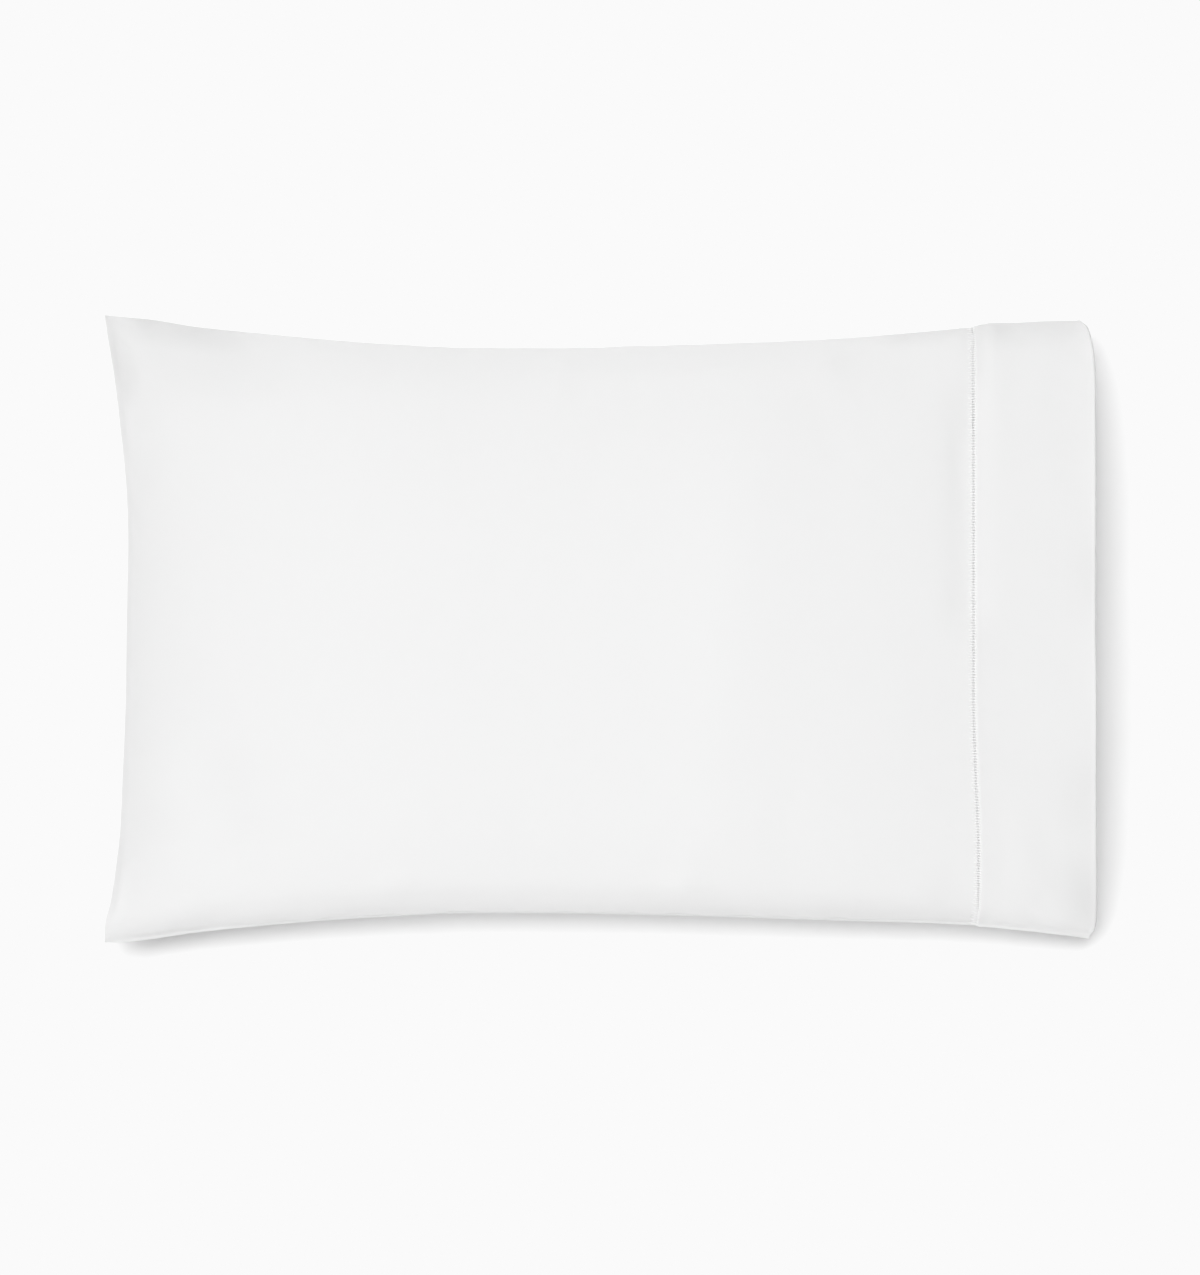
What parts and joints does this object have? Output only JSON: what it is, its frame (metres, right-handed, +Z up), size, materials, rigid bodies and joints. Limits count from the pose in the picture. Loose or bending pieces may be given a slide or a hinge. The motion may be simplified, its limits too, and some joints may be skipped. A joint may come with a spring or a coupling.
{
  "type": "pillowcase",
  "caption": "White cotton pillowcase with a deep hemstitched hem at its open end, filled by its pillow and lying flat on its back.",
  "frame": {"origin": "on the surface that the case lies on, under the middle of its box", "axes": "+X towards the open end with the deep hem, +Y towards the folded long side, +Z up out of the surface"},
  "size_m": [0.8386, 0.5293, 0.1715],
  "materials": {
    "white_cotton": "smooth fine-woven white cotton with a very soft sheen, matt thread in the hemstitching"
  },
  "bodies": {
    "root": {"pillowcase": "white_cotton"}
  },
  "joints": []
}
